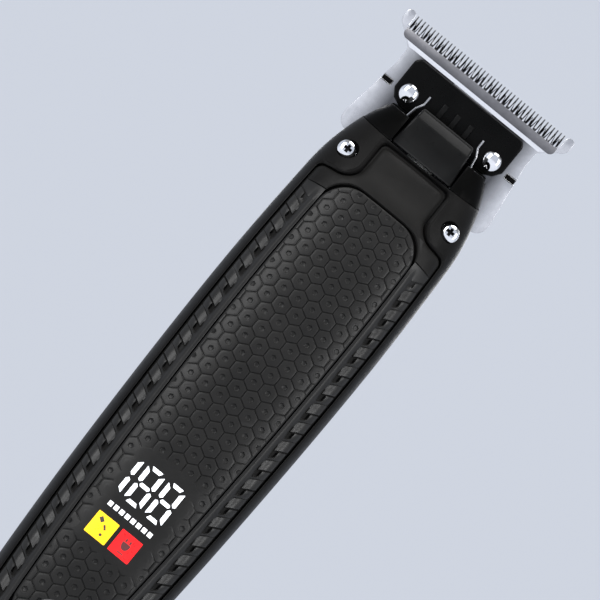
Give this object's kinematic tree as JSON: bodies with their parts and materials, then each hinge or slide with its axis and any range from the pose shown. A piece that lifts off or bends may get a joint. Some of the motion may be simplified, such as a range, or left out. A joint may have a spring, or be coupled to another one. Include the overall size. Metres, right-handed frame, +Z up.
{
  "type": "hair clipper",
  "caption": "Cordless hand clipper with a T-shaped blade, sliding cutter, motor, display panel and ribbed soft grip.",
  "frame": {"origin": "centre of the flat base that the clipper stands on", "axes": "+Z up from the base to the blade's teeth, +X to the clipper's right as its display face is seen, -Y out of the display face"},
  "size_m": [0.042, 0.0289, 0.1554],
  "materials": {
    "casing_black": "fine-textured satin black",
    "rear_black": "fine-textured satin black",
    "soft_grip": "soft-touch black",
    "panel_black": "satin black with honeycomb engraving",
    "head_black": "glossy black",
    "guide_black": "glossy black",
    "light_white": "lit white diffuser",
    "light_yellow": "lit yellow diffuser",
    "light_red": "lit red diffuser",
    "button_black": "satin black",
    "blade_steel": "ground and polished",
    "cutter_steel": "satin",
    "screw_chrome": "bright plated",
    "spring_steel": "drawn wire",
    "white_nylon": "natural white",
    "frame_grey": "dark grey moulded",
    "board_green": "solder-masked board",
    "motor_zinc": "zinc plated",
    "magnet_dark": "ferrite",
    "rotor_copper": "wound copper",
    "bearing_bronze": "sintered bronze",
    "cell_sleeve": "shrink sleeve over a steel can",
    "nickel": "nickel strip",
    "red_wire": "insulated lead",
    "black_wire": "insulated lead",
    "seal_rubber": "soft rubber",
    "plunger_red": "moulded"
  },
  "bodies": {
    "casing": {"front_cover": "casing_black", "rear_shell": "rear_black", "soft_grip": "soft_grip", "grip_panel": "panel_black", "display_digits": "light_white", "level_marks": "light_white", "oil_icon": "light_yellow", "plug_icon": "light_red", "tact_switch": "motor_zinc", "circuit_board": "board_green", "display_module": "white_nylon", "charging_socket": "motor_zinc", "socket_tongue": "head_black", "battery_cell": "cell_sleeve", "battery_tabs": "nickel", "inner_frame": "frame_grey", "board_screws": "screw_chrome", "motor_can": "motor_zinc", "motor_end_cap": "white_nylon", "motor_magnets": "magnet_dark", "motor_bearings": "bearing_bronze", "motor_terminals": "bearing_bronze", "motor_bracket": "motor_zinc", "motor_screws": "screw_chrome", "shaft_seal": "seal_rubber", "head_frame": "head_black", "spring_cover": "head_black", "blade_springs": "spring_steel", "fixed_blade": "blade_steel", "blade_guide": "guide_black", "guide_screws": "screw_chrome", "blade_screws": "screw_chrome", "comb_catches": "head_black", "body_screws": "screw_chrome", "motor_leads": "red_wire", "battery_leads": "black_wire"},
    "cutter": {"moving_blade": "cutter_steel", "drive_follower": "white_nylon"},
    "rotor": {"motor_rotor": "rotor_copper", "motor_shaft": "spring_steel", "eccentric_cam": "white_nylon", "cam_pin": "spring_steel"},
    "button": {"power_button": "button_black", "switch_plunger": "plunger_red"}
  },
  "joints": [
    {"name": "cutter_slide", "type": "slide", "parent": "casing", "child": "cutter", "axis": [1, 0, 0], "range_m": [-0.0011, 0.0011]},
    {"name": "motor_spin", "type": "hinge", "parent": "casing", "child": "rotor", "pos_m": [0, -0.001, 0.11], "axis": [0, 0, 1], "continuous": true},
    {"name": "button_press", "type": "slide", "parent": "casing", "child": "button", "axis": [0, 1, 0], "range_m": [0, 0.0004], "stiffness_N_per_m": 800}
  ]
}
